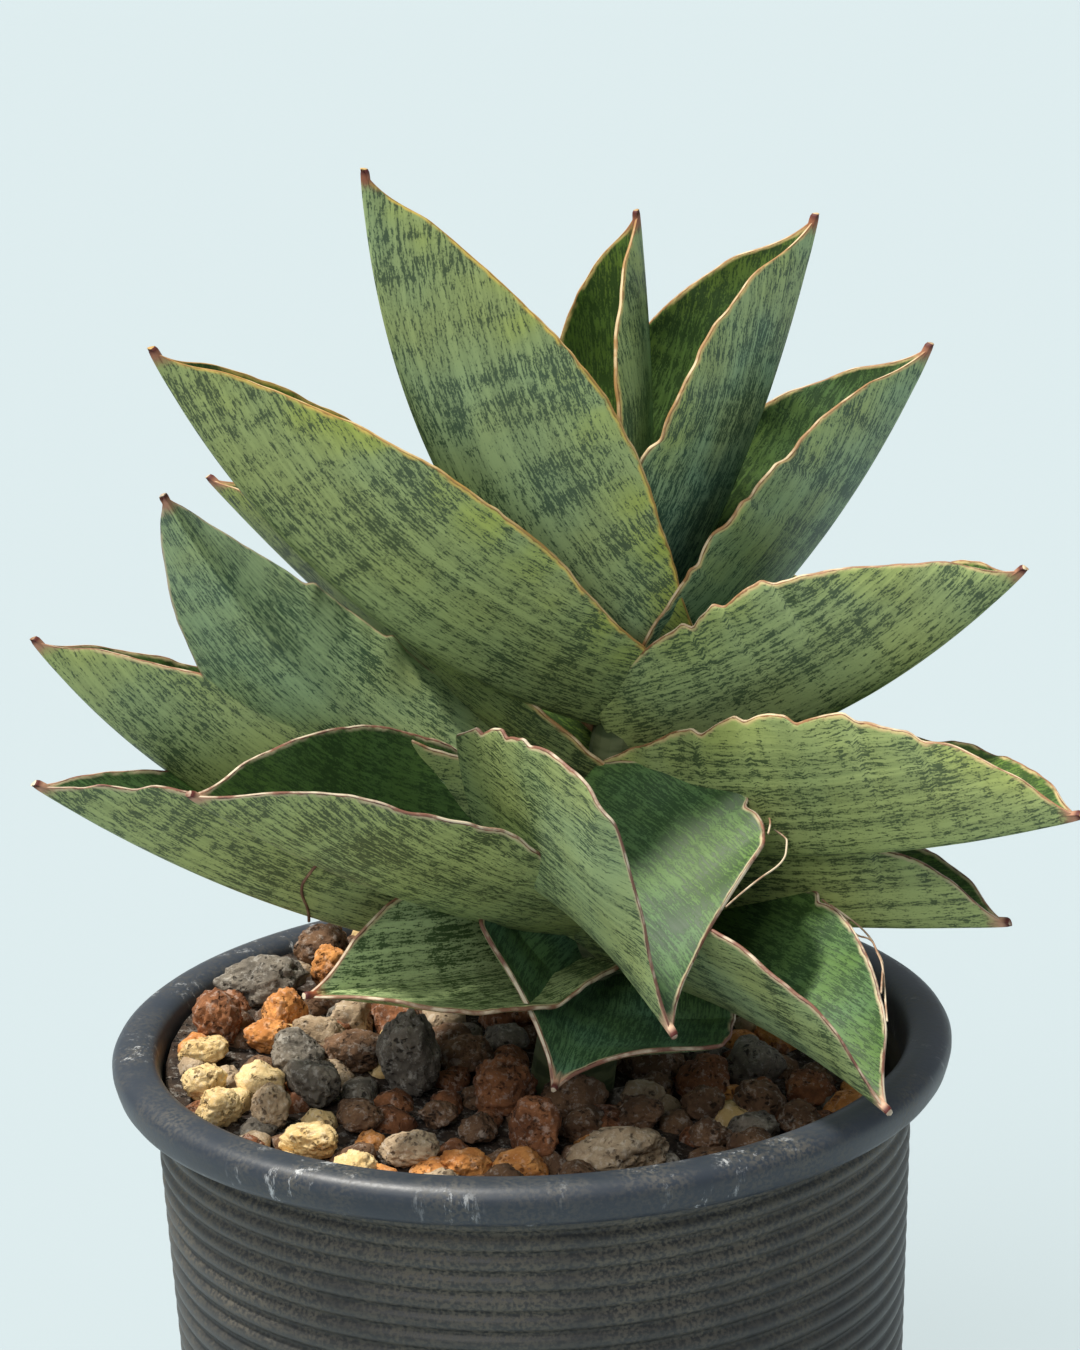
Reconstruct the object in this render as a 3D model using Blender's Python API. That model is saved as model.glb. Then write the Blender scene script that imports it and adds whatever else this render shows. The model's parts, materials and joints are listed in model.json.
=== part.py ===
"""A leaning rosette of boat-shaped leaves on a short stem, potted in gravel.

Metres, +Z up.  The origin is the centre of the pot's base, +X is to the right
and -Y to the front.
"""
import bpy
import math
from mathutils import Matrix, Vector, noise

MM = 0.001

# pot, turned about Z
POT_HEIGHT = 130 * MM
RIM_RADIUS = 75 * MM             # the widest point of the rolled rim
NECK_RADIUS = 68 * MM            # wall just under the rim
BASE_RADIUS = 63 * MM
RIM_DEPTH = 8 * MM               # rim, top to underside
POT_WALL = 2 * MM
POT_FLOOR = 3 * MM
POT_SIDES = 48
DRAIN_HOLES = 6
DRAIN_RADIUS = 4.5 * MM
DRAIN_RING = 38 * MM

FIT = 0.3 * MM                   # clearance between touching pieces

# gravel: its surface slopes up to the back left
BED_DEPTH = 12 * MM              # pot's top edge down to the gravel at the middle
BED_SLOPE_X = -0.10
BED_SLOPE_Y = 0.11

# stem: leans to the right and a little to the front
STEM_FOOT = Vector((0.006, 0.002, POT_HEIGHT - 18 * MM))
STEM_TOP = Vector((0.021, -0.004, POT_HEIGHT + 75 * MM))
STEM_FOOT_RADIUS = 8 * MM
STEM_TOP_RADIUS = 4.5 * MM
STEM_BURIED = 22 * MM
STEM_SIDES = 16

# leaf section
KEEL_THICK = 2.6 * MM
EDGE_THICK = 0.9 * MM
LEAF_START = 3 * MM              # keel's start from the stem's axis, cut back to the stem
LEAF_STATIONS = (0, 0.08, 0.17, 0.28, 0.40, 0.52, 0.64, 0.76, 0.87, 0.95)
LEAF_ACROSS = (-1, -0.5, 0, 0.5, 1)
BASE_SHARE = 0.20                # half width at the stem over the greatest
WIDEST_AT = 0.45
BASE_FOLD = 38
FLANK_BULGE = 10

# Each leaf, oldest first: height of its base over the pot's top edge (mm), heading
# (degrees, 0 right, 90 back), rise at the base and gain of rise to the tip (degrees),
# length and half width (mm), half opening of the fold, roll (degrees), side shift (mm)
LEAVES = (
    (1, 264, 4, -4, 42, 21, 46, 14, 0),
    (1, 220, 12, 12, 60, 18, 48, 38, 0),
    (3, 55, 2, 6, 60, 22, 42, 0, 0),
    (6, 108, 2, 8, 66, 23, 40, 0, 0),
    (9, 313, 7, -19, 76, 18, 40, 4, 0),
    (12, 190, 3, 44, 104, 25, 35, 0, 0),
    (17, 144, 5, 16, 82, 24, 38, 0, 0),
    (18, 221, 14, 26, 94, 20, 36, 0, 0),
    (17, 28, 4, 12, 78, 25, 38, 0, 0),
    (23, 331, 0, 14, 77, 21, 36, 10, 0),
    (28, 186, 4, 46, 112, 24, 35, 0, 0),
    (23, 84, 4, 14, 90, 26, 36, 0, 0),
    (30, 222, 34, 28, 117, 24, 40, -26, 0),
    (34, 299, -8, -14, 58, 21, 40, 38, -19),
    (32, 128, 18, 20, 95, 27, 36, 0, 0),
    (41, 319, 0, 26, 97, 33, 35, 12, 0),
    (40, 58, 4, 18, 88, 27, 36, 0, 0),
    (41, 166, 30, 20, 90, 20, 40, 0, 0),
    (48, 325, 6, 50, 92, 33, 35, 4, 0),
    (50, 100, 28, 16, 92, 28, 36, 0, 0),
    (55, 202, 20, 48, 113, 33, 34, 0, 0),
    (58, 12, 32, 34, 85, 27, 36, 0, 0),
    (62, 210, 39, 52, 110, 33, 34, 0, 0),
    (66, 18, 56, 22, 85, 26, 36, 0, 0),
    (71, 38, 82, 14, 77, 19, 36, 0, 0),
)

STONE_ROUGH = 0.14               # unevenness over half size
STONE_SUNK = 0.15                # share of a stone's height that lies in the gravel
STONES_BED = 66 * MM             # radius of the bed that the stones' sizes and places suit

# The larger stones on the gravel: finish, place (mm), width, depth, height (mm), turn
# (degrees); sizes and places follow the bed's radius
STONES = (
    ("grey", -50, 28, 17, 10, 10, 10),
    ("brown", -39, 45, 11, 9, 9, 30),
    ("orange", -37, 34, 8, 8, 10, 0),
    ("orange", -45, 17, 9, 8, 9, 40),
    ("rust", -57, 12, 11, 9, 11, 100),
    ("cream", -59, 1, 9, 8, 6, 0),
    ("orange", -48, 8, 9, 7, 7, 30),
    ("grey", -42, -1, 10, 9, 10, 0),
    ("cream", -58, -12, 8, 8, 8, 60),
    ("cream", -55, -21, 8, 8, 8, 15),
    ("pale", -46, -20, 7, 8, 9, 0),
    ("grey", -39, -11, 10, 10, 10, 20),
    ("cream", -39, -30, 10, 8, 7, 10),
    ("brown", -32, 3, 11, 9, 8, -15),
    ("grey", -22, -4, 11, 10, 17, 0),
    ("brown", -30, -20, 7, 7, 6, 0),
    ("brown", -12, 4, 10, 9, 8, 0),
    ("rust", -5, -10, 11, 9, 12, 30),
    ("brown", -17, -17, 7, 7, 6, 50),
    ("brown", -10, -22, 7, 7, 6, 0),
    ("pale", -22, -31, 10, 8, 7, 20),
    ("orange", -12, -35, 9, 8, 7, 0),
    ("cream", -31, -38, 8, 7, 6, 30),
    ("rust", 0, -26, 9, 9, 13, 0),
    ("pale", 14, -31, 17, 11, 11, 15),
    ("brown", 18, -14, 9, 8, 7, 0),
    ("brown", 30, -8, 8, 7, 7, 20),
    ("brown", 31, -20, 8, 7, 7, 0),
    ("brown", 47, -12, 8, 8, 7, 0),
    ("rust", -49, -32, 5, 5, 5, 0),
    ("grey", 28, 34, 11, 9, 8, 0),
    ("orange", -5, 40, 12, 10, 9, 25),
)


def gravel_height(x, y):
    """Height of the gravel's surface at a place."""
    return POT_HEIGHT - BED_DEPTH + BED_SLOPE_X * x + BED_SLOPE_Y * y


def wall_radius(z):
    """Outer radius of the pot's tapering wall."""
    neck = POT_HEIGHT - RIM_DEPTH
    return BASE_RADIUS + (NECK_RADIUS - BASE_RADIUS) * z / neck


def stem_at(z):
    """Point on the stem's axis at a height."""
    return STEM_FOOT.lerp(STEM_TOP, (z - STEM_FOOT.z) / (STEM_TOP.z - STEM_FOOT.z))


def stem_radius(z):
    share = (z - STEM_FOOT.z) / (STEM_TOP.z - STEM_FOOT.z)
    return STEM_FOOT_RADIUS + (STEM_TOP_RADIUS - STEM_FOOT_RADIUS) * share


def material(name, colour, roughness):
    finish = bpy.data.materials.new(name)
    finish.use_nodes = True
    shader = finish.node_tree.nodes["Principled BSDF"]
    shader.inputs["Base Color"].default_value = (*colour, 1)
    shader.inputs["Roughness"].default_value = roughness
    return finish


def piece(name, points, faces, finish):
    """A new object from points and faces."""
    mesh = bpy.data.meshes.new(name)
    mesh.from_pydata([tuple(p) for p in points], [], faces)
    mesh.materials.append(finish)
    mesh.shade_smooth()
    mesh.set_sharp_from_angle(angle=math.radians(40))
    made = bpy.data.objects.new(name, mesh)
    bpy.context.scene.collection.objects.link(made)
    return made


def tube_faces(rings, sides):
    """Side quads between rings of points, with both ends closed."""
    faces = [tuple(reversed(range(sides)))]
    for ring in range(rings - 1):
        for side in range(sides):
            a = ring * sides + side
            b = ring * sides + (side + 1) % sides
            faces.append((a, b, b + sides, a + sides))
    faces.append(tuple(range((rings - 1) * sides, rings * sides)))
    return faces


def cut(target, cutter):
    """Take the cutter's shape out of the target."""
    cutter.hide_render = True
    cutter.display_type = "WIRE"
    modifier = target.modifiers.new("cut_" + cutter.name, "BOOLEAN")
    modifier.operation = "DIFFERENCE"
    modifier.solver = "EXACT"
    modifier.object = cutter


def leaf_outline(along):
    """Half width at a share of the length, over the greatest half width."""
    if along < WIDEST_AT:
        return BASE_SHARE + (1 - BASE_SHARE) * math.sin(along / WIDEST_AT * math.pi / 2) ** 2
    return (1 - ((along - WIDEST_AT) / (1 - WIDEST_AT)) ** 2) ** 0.9


def keel_point(along, length, rise, gain):
    """Point on the keel in the leaf's upright plane: an arc whose slope grows by gain."""
    if abs(gain) < 1e-6:
        return Vector((math.cos(rise), 0, math.sin(rise))) * (length * along)
    end = rise + gain * along
    across = math.sin(end) - math.sin(rise)
    up = math.cos(rise) - math.cos(end)
    return Vector((across, 0, up)) * (length / gain)


def flank_point(share, fold, width):
    """Place and inward direction on one flank, from keel (0) to edge (1), bulged outwards.

    Both are (up, side) pairs in the leaf's cross-section.
    """
    bulge = math.radians(FLANK_BULGE)
    near = fold + bulge
    far = near - 2 * bulge * share
    up = width * (math.sin(near) - math.sin(far)) / (2 * bulge)
    side = width * (math.cos(far) - math.cos(near)) / (2 * bulge)
    return (up, side), (math.sin(far), -math.cos(far))


def leaf_ring(along, length, width, rise, gain, half_fold, roll):
    """Outer points from edge to edge, then the inner points back."""
    slope = rise + gain * along
    forward = Vector((math.cos(slope), 0, math.sin(slope)))
    turn = Matrix.Rotation(-roll, 3, forward)
    normal = turn @ Vector((-forward.z, 0, forward.x))
    left = turn @ Vector((0, 1, 0))
    keel = keel_point(along, length, rise, gain)
    near_base = min(along / 0.3, 1)
    near_tip = max((along - 0.6) / 0.4, 0)
    fold = math.radians(BASE_FOLD) * (1 - near_base) + half_fold * near_base
    fold *= 1 - 0.25 * near_tip
    half_width = width * leaf_outline(along)
    outer = []
    inner = []
    for across in LEAF_ACROSS:
        share = abs(across)
        hand = math.copysign(1, across)
        (up, side), (in_up, in_side) = flank_point(share, fold, half_width)
        thick = (KEEL_THICK + (EDGE_THICK - KEEL_THICK) * share) * (1 - 0.4 * near_tip)
        if share == 0:
            in_up, in_side = 1 / math.sin(fold), 0
        place = keel + normal * up + left * (hand * side)
        outer.append(place)
        inner.append(place + (normal * in_up + left * (hand * in_side)) * thick)
    return outer + inner[::-1]


def leaf_solid(name, row, finish):
    """One leaf: folded along its keel, curving up, thick at the keel and thin at its edges."""
    over_rim, heading, rise, gain, length, width, half_fold, roll, shift = row
    rise, gain, half_fold, roll = (math.radians(value) for value in (rise, gain, half_fold, roll))
    length *= MM
    points = []
    for along in LEAF_STATIONS:
        points += leaf_ring(along, length, width * MM, rise, gain, half_fold, roll)
    sides = 2 * len(LEAF_ACROSS)
    faces = tube_faces(len(LEAF_STATIONS), sides)
    end = faces.pop()
    points.append(keel_point(1, length, rise, gain))
    tip = len(points) - 1
    faces += [(end[i], end[(i + 1) % sides], tip) for i in range(sides)]
    leaf = piece(name, points, faces, finish)
    base = stem_at(POT_HEIGHT + over_rim * MM)
    turn = Matrix.Rotation(math.radians(heading), 4, "Z")
    leaf.location = base + turn @ Vector((LEAF_START, shift * MM, 0))
    leaf.rotation_euler = (0, 0, math.radians(heading))
    return leaf


def stem_solid(name, grow, deeper, finish):
    """The leaning, tapering stem; grow and deeper make it a cutter with clearance."""
    points = []
    foot = STEM_FOOT.z - STEM_BURIED - deeper
    levels = (foot, STEM_FOOT.z, STEM_TOP.z)
    for z in levels:
        middle = stem_at(z)
        radius = stem_radius(max(z, STEM_FOOT.z)) + grow
        for side in range(STEM_SIDES):
            angle = 2 * math.pi * side / STEM_SIDES
            points.append(middle + Vector((math.cos(angle), math.sin(angle), 0)) * radius)
    return piece(name, points, tube_faces(len(levels), STEM_SIDES), finish)


def turned_solid(name, profile, sides, finish):
    """A profile of (radius, height) pairs turned about Z and closed flat at both ends."""
    points = []
    for radius, height in profile:
        for side in range(sides):
            angle = 2 * math.pi * side / sides
            points.append((radius * math.cos(angle), radius * math.sin(angle), height))
    return piece(name, points, tube_faces(len(profile), sides), finish)


def pot_profile():
    """From the underside's edge up the outside, over the rim and down to the floor inside."""
    neck = POT_HEIGHT - RIM_DEPTH
    roll = RIM_RADIUS - NECK_RADIUS
    return [
        (BASE_RADIUS - 2 * MM, 0),
        (wall_radius(1.5 * MM), 1.5 * MM),
        (wall_radius(neck / 2), neck / 2),
        (NECK_RADIUS, neck),
        (NECK_RADIUS + roll * 0.55, neck + 0.6 * MM),
        (RIM_RADIUS - 0.7 * MM, neck + 2.6 * MM),
        (RIM_RADIUS, POT_HEIGHT - 3 * MM),
        (RIM_RADIUS - 1.3 * MM, POT_HEIGHT - 0.9 * MM),
        (RIM_RADIUS - 4 * MM, POT_HEIGHT),
        (NECK_RADIUS, POT_HEIGHT - 0.3 * MM),
        (NECK_RADIUS - 1.2 * MM, POT_HEIGHT - 2 * MM),
        (NECK_RADIUS - POT_WALL, neck),
        (wall_radius(POT_FLOOR) - POT_WALL, POT_FLOOR),
    ]


def bed_solid(name, finish):
    """Gravel that fills the pot, its upper face sloping."""
    foot = POT_FLOOR + FIT
    points = []
    for height in (foot, None):
        for side in range(POT_SIDES):
            angle = 2 * math.pi * side / POT_SIDES
            level = height or POT_HEIGHT - BED_DEPTH
            for _ in range(3):
                radius = wall_radius(level) - POT_WALL - FIT
                place = Vector((radius * math.cos(angle), radius * math.sin(angle), 0))
                level = height or gravel_height(place.x, place.y)
            points.append(place + Vector((0, 0, level)))
    return piece(name, points, tube_faces(2, POT_SIDES), finish)


def stone_solid(name, row, finish):
    """A rounded, uneven stone with a flat underside along the gravel's slope."""
    _, x, y, wide, deep, high, turn = row
    seed = Vector((x, y, 0))
    spread = (NECK_RADIUS - POT_WALL) / STONES_BED * MM
    x, y, wide, deep, high = (value * spread for value in (x, y, wide, deep, high))
    bpy.ops.mesh.primitive_ico_sphere_add(subdivisions=2, radius=1)
    stone = bpy.context.object
    stone.name = name
    stone.data.name = name
    stone.data.materials.append(finish)
    level = gravel_height(x, y) + (0.5 - STONE_SUNK) * high
    spin = Matrix.Rotation(math.radians(turn), 3, "Z")
    for point in stone.data.vertices:
        direction = point.co.normalized()
        swell = 1 + STONE_ROUGH * noise.noise(direction * 1.3 + seed)
        local = direction * swell / 2
        place = spin @ Vector((local.x * wide, local.y * deep, local.z * high))
        ground = gravel_height(x + place.x, y + place.y) + FIT - level
        point.co = (place.x, place.y, max(place.z, ground))
    stone.location = (x, y, level)
    stone.data.shade_smooth()
    return stone


for thing in list(bpy.data.objects):
    bpy.data.objects.remove(thing)

leaf_green = material("leaf green", (0.22, 0.30, 0.15), 0.45)
stem_green = material("stem", (0.35, 0.38, 0.20), 0.6)
gravel_brown = material("gravel", (0.25, 0.17, 0.11), 0.9)
pot_grey = material("pot", (0.08, 0.08, 0.085), 0.55)

pot = turned_solid("pot", pot_profile(), POT_SIDES, pot_grey)
for hole in range(DRAIN_HOLES):
    angle = 2 * math.pi * hole / DRAIN_HOLES
    bpy.ops.mesh.primitive_cylinder_add(vertices=16, radius=DRAIN_RADIUS, depth=4 * POT_FLOOR)
    drain = bpy.context.object
    drain.name = f"drain_{hole + 1}"
    drain.location = (DRAIN_RING * math.cos(angle), DRAIN_RING * math.sin(angle), 0)
    cut(pot, drain)

stem = stem_solid("stem", 0, 0, stem_green)
stem_clearance = stem_solid("stem_clearance", FIT, FIT, stem_green)
bed = bed_solid("gravel_bed", gravel_brown)
cut(bed, stem_clearance)

for number, row in enumerate(LEAVES, start=1):
    leaf = leaf_solid(f"leaf_{number:02d}", row, leaf_green)
    cut(leaf, stem_clearance)

stone_finishes = {
    "grey": material("grey stone", (0.23, 0.21, 0.19), 0.9),
    "brown": material("brown stone", (0.24, 0.15, 0.09), 0.9),
    "orange": material("orange stone", (0.55, 0.28, 0.10), 0.9),
    "rust": material("rust stone", (0.40, 0.18, 0.09), 0.9),
    "cream": material("cream stone", (0.62, 0.50, 0.30), 0.9),
    "pale": material("pale stone", (0.45, 0.36, 0.27), 0.9),
}
for number, row in enumerate(STONES, start=1):
    stone_solid(f"stone_{number:02d}", row, stone_finishes[row[0]])
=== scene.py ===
"""The finished look of the potted snake plant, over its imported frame."""
import bpy
import json
import math
import random
from mathutils import Matrix, Vector, noise


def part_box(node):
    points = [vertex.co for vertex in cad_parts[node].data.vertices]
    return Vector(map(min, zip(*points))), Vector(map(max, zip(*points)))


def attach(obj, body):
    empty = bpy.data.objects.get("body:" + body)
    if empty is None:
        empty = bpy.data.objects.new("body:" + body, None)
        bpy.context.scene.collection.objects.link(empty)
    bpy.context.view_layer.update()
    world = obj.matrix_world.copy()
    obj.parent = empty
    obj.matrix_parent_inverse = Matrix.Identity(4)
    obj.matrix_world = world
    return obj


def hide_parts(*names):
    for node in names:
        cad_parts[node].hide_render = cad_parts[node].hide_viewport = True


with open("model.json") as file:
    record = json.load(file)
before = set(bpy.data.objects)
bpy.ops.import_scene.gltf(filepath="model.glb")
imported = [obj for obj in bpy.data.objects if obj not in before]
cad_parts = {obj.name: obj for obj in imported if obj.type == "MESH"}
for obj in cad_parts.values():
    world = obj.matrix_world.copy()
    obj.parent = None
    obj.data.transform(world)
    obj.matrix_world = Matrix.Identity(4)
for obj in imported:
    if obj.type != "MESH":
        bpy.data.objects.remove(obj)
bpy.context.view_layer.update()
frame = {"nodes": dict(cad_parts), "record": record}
MM = 0.001
bpy.ops.object.select_all(action="DESELECT")


# ---- Pot ----
# A thin moulded plastic nursery pot: a ribbed, slightly tapering wall and a rolled rim, dark grey,
# dusty under the rim and scuffed along it, with painted shade in the grooves and a painted sky
# reflection on the rim.
POT_SIDES = 168
POT_WALL = 1.8 * MM
POT_FLOOR = 3 * MM
POT_TAPER = 5 * MM                 # neck's radius less the foot's
RIM_REACH = 7 * MM                 # how far the rim stands out from the neck
RIM_HEIGHT = 8 * MM
RIB_PITCH = 3.6 * MM
RIB_DEPTH = 0.9 * MM
RIB_STEPS = 8                      # points of the section to one rib
DRAINS = 6
DRAIN_RADIUS = 4.5 * MM
DRAIN_RING = 38 * MM
rim_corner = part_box("pot")[1]
POT_TOP = rim_corner.z
NECK_RADIUS = rim_corner.x - RIM_REACH
FOOT_RADIUS = NECK_RADIUS - POT_TAPER
RIM_FOOT = POT_TOP - RIM_HEIGHT
RIBS_FROM = 8 * MM
RIBS_TO = RIM_FOOT - 1.6 * MM
RIBS = round((RIBS_TO - RIBS_FROM) / RIB_PITCH)
# Round the rim to its inside: mm out from the neck and mm up from the rim's foot
RIM_SECTION = (
    (0, -0.3), (1.2, 0), (4.2, 0.35), (5.5, 0.9), (6.2, 1.9), (6.6, 3.2), (6.95, 4.6),
    (6.95, 5.7), (6.4, 6.7), (5.4, 7.45), (4.0, 7.85), (2.4, 7.95), (1.0, 7.75), (-0.2, 7.2),
    (-0.9, 6.2), (-1.3, 4.6), (-1.6, 2.0),
)


def node(tree, kind, inputs=(), **settings):
    """A new node with its settings, and its sockets set or linked."""
    made = tree.nodes.new(kind)
    for key, value in settings.items():
        setattr(made, key, value)
    for key, value in dict(inputs).items():
        if isinstance(value, bpy.types.NodeSocket):
            tree.links.new(value, made.inputs[key])
        else:
            made.inputs[key].default_value = value
    return made


def blended(tree, share, first, second, how="MIX"):
    """A colour between two colours."""
    sockets = {0: share, 6: first, 7: second}
    return node(tree, "ShaderNodeMix", sockets, data_type="RGBA", blend_type=how).outputs[2]


def step(tree, value, low, high):
    """0 below low, 1 above high and smooth between; low may be the larger."""
    sockets = {0: value, 1: low, 2: high}
    return node(tree, "ShaderNodeMapRange", sockets, interpolation_type="SMOOTHSTEP").outputs[0]


def maths(tree, how, first, second=0.0, third=0.0):
    """One sum on values; the third is what MULTIPLY_ADD adds."""
    return node(tree, "ShaderNodeMath", {0: first, 1: second, 2: third}, operation=how).outputs[0]


def speckle(tree, place, scale, detail=3.0, rough=0.55):
    """Fine cloudy noise, about 0 to 1 with its middle at 0.5."""
    sockets = {"Vector": place, "Scale": scale, "Detail": detail, "Roughness": rough}
    return node(tree, "ShaderNodeTexNoise", sockets).outputs[0]


def parts_of(tree, vector):
    return node(tree, "ShaderNodeSeparateXYZ", {0: vector}).outputs


def roughen(tree, shader, height, strength, distance):
    """Fine relief on a shader's surface."""
    sockets = {"Height": height, "Strength": strength, "Distance": distance}
    tree.links.new(node(tree, "ShaderNodeBump", sockets).outputs[0], shader.inputs["Normal"])


def finish(name, roughness, **values):
    """A new material: its tree, its shader and its Object coordinates."""
    made = bpy.data.materials.new(name)
    made.use_nodes = True
    tree = made.node_tree
    shader = tree.nodes["Principled BSDF"]
    shader.inputs["Roughness"].default_value = roughness
    for key, value in values.items():
        shader.inputs[key.replace("_", " ")].default_value = value
    return made, tree, shader, node(tree, "ShaderNodeTexCoord").outputs["Object"]


def effect(name, inputs, outputs):
    """An empty node group with named sockets; returns its tree, inputs and output node."""
    tree = bpy.data.node_groups.new(name, "ShaderNodeTree")
    kinds = {"value": "NodeSocketFloat", "colour": "NodeSocketColor", "place": "NodeSocketVector"}
    for title, kind in inputs:
        tree.interface.new_socket(title, in_out="INPUT", socket_type=kinds[kind])
    for title, kind in outputs:
        tree.interface.new_socket(title, in_out="OUTPUT", socket_type=kinds[kind])
    return tree, tree.nodes.new("NodeGroupInput").outputs, tree.nodes.new("NodeGroupOutput")


def settled_dust():
    """Dust and lime that lie on a surface: a colour and how much of it shows."""
    tree, given, out = effect(
        "settled dust",
        [("Place", "place"), ("Surface", "colour"), ("Dust", "colour"), ("Where", "value")],
        [("Colour", "colour"), ("Mask", "value")],
    )
    cloud = speckle(tree, given["Place"], 90, 5, 0.65)
    grit = speckle(tree, given["Place"], 1400, 2, 0.6)
    patchy = maths(tree, "ADD", maths(tree, "MULTIPLY_ADD", cloud, 1.3, -0.55), given["Where"])
    fine = maths(tree, "MULTIPLY", patchy, step(tree, grit, 0.38, 0.62))
    mask = node(tree, "ShaderNodeClamp", {0: fine}).outputs[0]
    tree.links.new(blended(tree, mask, given["Surface"], given["Dust"]), out.inputs["Colour"])
    tree.links.new(mask, out.inputs["Mask"])
    return tree


def shape_pot():
    """The pot's section, spun round its axis: outside up, over the rim and down inside."""
    section = [(0, 0), (FOOT_RADIUS - 2.2 * MM, 0)]
    section += [(FOOT_RADIUS - 0.7 * MM, 0.5 * MM), (FOOT_RADIUS, 2 * MM)]
    for point in range(RIBS * RIB_STEPS + 1):
        z = RIBS_FROM + (RIBS_TO - RIBS_FROM) * point / (RIBS * RIB_STEPS)
        wall = FOOT_RADIUS + (NECK_RADIUS - FOOT_RADIUS) * z / RIM_FOOT
        groove = (0.5 - 0.5 * math.cos(point / RIB_STEPS * 2 * math.pi)) ** 1.6
        section.append((wall - RIB_DEPTH * groove, z))
    section += [(NECK_RADIUS + out * MM, RIM_FOOT + up * MM) for out, up in RIM_SECTION]
    neck_inside, foot_inside = NECK_RADIUS - POT_WALL, FOOT_RADIUS - POT_WALL
    section += [(neck_inside - 0.2 * MM, RIM_FOOT - 2 * MM), (neck_inside - 3 * MM, 60 * MM)]
    section += [(foot_inside, POT_FLOOR + 1 * MM), (foot_inside - 1 * MM, POT_FLOOR), (0, POT_FLOOR)]
    mesh = bpy.data.meshes.new("ribbed_pot")
    edges = [(i, i + 1) for i in range(len(section) - 1)]
    mesh.from_pydata([(r, 0, z) for r, z in section], edges, [])
    pot = bpy.data.objects.new("ribbed_pot", mesh)
    bpy.context.scene.collection.objects.link(pot)
    bpy.context.view_layer.objects.active = pot
    pot.select_set(True)
    bpy.ops.object.mode_set(mode="EDIT")
    bpy.ops.mesh.select_all(action="SELECT")
    bpy.ops.mesh.spin(steps=POT_SIDES, angle=2 * math.pi, center=(0, 0, 0), axis=(0, 0, 1))
    bpy.ops.mesh.select_all(action="SELECT")
    bpy.ops.mesh.remove_doubles(threshold=0.02 * MM)
    bpy.ops.mesh.normals_make_consistent(inside=False)
    bpy.ops.object.mode_set(mode="OBJECT")
    bpy.ops.object.shade_smooth_by_angle(angle=math.radians(50))
    pot.select_set(False)
    return pot


def bore_drains(pot):
    """Drain holes through the floor, on the places of the frame's."""
    for hole in range(DRAINS):
        angle = 2 * math.pi * hole / DRAINS
        bpy.ops.mesh.primitive_cylinder_add(
            vertices=32, radius=DRAIN_RADIUS, depth=4 * POT_FLOOR,
            location=(DRAIN_RING * math.cos(angle), DRAIN_RING * math.sin(angle), 0),
        )
        drill = bpy.context.object
        bpy.context.view_layer.objects.active = pot
        cut = pot.modifiers.new("drain", "BOOLEAN")
        cut.object = drill
        bpy.ops.object.modifier_apply(modifier=cut.name)
        bpy.data.objects.remove(drill)


def plastic():
    """Dark moulded plastic: painted shade in the grooves, brown dust in the ribs, lime and scratches
    along the rim, and a painted reflection of the bluish sky on the rim.
    """
    made, tree, shader, place = finish("nursery plastic", 0.5, Specular_IOR_Level=0.45)
    height = parts_of(tree, place)[2]
    mottle = speckle(tree, place, 35)
    colour = blended(tree, mottle, (0.020, 0.021, 0.022, 1), (0.040, 0.040, 0.038, 1))
    in_rim = step(tree, height, RIM_FOOT - 0.5 * MM, RIM_FOOT + 0.5 * MM)
    over_foot = maths(tree, "SUBTRACT", height, RIBS_FROM)
    ribs_up = maths(tree, "DIVIDE", over_foot, (RIBS_TO - RIBS_FROM) / RIBS)
    from_groove = maths(tree, "ABSOLUTE", maths(tree, "SUBTRACT", maths(tree, "FRACT", ribs_up), 0.5))
    # Painted shade: the grooves between the ribs are darkened towards black.
    groove_shade = maths(tree, "MULTIPLY", step(tree, from_groove, 0.30, 0.05), 0.75)
    colour = blended(tree, groove_shade, colour, (0.006, 0.006, 0.006, 1))
    # Painted reflection: the rim is painted blue-grey, for the bluish sky reflected on it.
    colour = blended(tree, in_rim, colour, (0.024, 0.031, 0.043, 1))
    near_rim = step(tree, height, RIM_FOOT - 40 * MM, RIM_FOOT - 1 * MM)
    below = maths(tree, "MULTIPLY", near_rim, maths(tree, "SUBTRACT", 1.0, in_rim))
    where = maths(tree, "MULTIPLY_ADD", below, 0.38, 0.06)
    sockets = {"Place": place, "Surface": colour, "Dust": (0.15, 0.13, 0.095, 1), "Where": where}
    dusty = node(tree, "ShaderNodeGroup", sockets, node_tree=DUST)
    upright = node(tree, "ShaderNodeMapping", {"Vector": place, "Scale": (1, 1, 0.16)}).outputs[0]
    scuff = step(tree, speckle(tree, upright, 420, 6, 0.75), 0.56, 0.66)
    patch = step(tree, speckle(tree, place, 45, 2), 0.46, 0.62)
    scuff = maths(tree, "MULTIPLY", maths(tree, "MULTIPLY", scuff, patch), in_rim)
    colour = blended(tree, scuff, dusty.outputs["Colour"], (0.42, 0.43, 0.44, 1))
    tree.links.new(colour, shader.inputs["Base Color"])
    rough = maths(tree, "MULTIPLY_ADD", dusty.outputs["Mask"], 0.4, 0.42)
    tree.links.new(rough, shader.inputs["Roughness"])
    roughen(tree, shader, speckle(tree, place, 900, 4), 0.25, 0.15 * MM)
    return made


DUST = settled_dust()
pot = shape_pot()
bore_drains(pot)
pot.data.materials.clear()
pot.data.materials.append(plastic())
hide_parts("pot")
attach(pot, "root")


# ---- Gravel bed ----
# The mineral mix that fills the pot, raked up to the back left; what shows of it
# between the loose stones is painted nearly black, as painted shade in the gaps.
BED_MIDDLE = POT_TOP - 12 * MM
BED_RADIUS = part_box("gravel_bed")[1].x
BED_SLOPE_X = -0.10
BED_SLOPE_Y = 0.11


def bed_height(x, y):
    return BED_MIDDLE + BED_SLOPE_X * x + BED_SLOPE_Y * y


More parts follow.
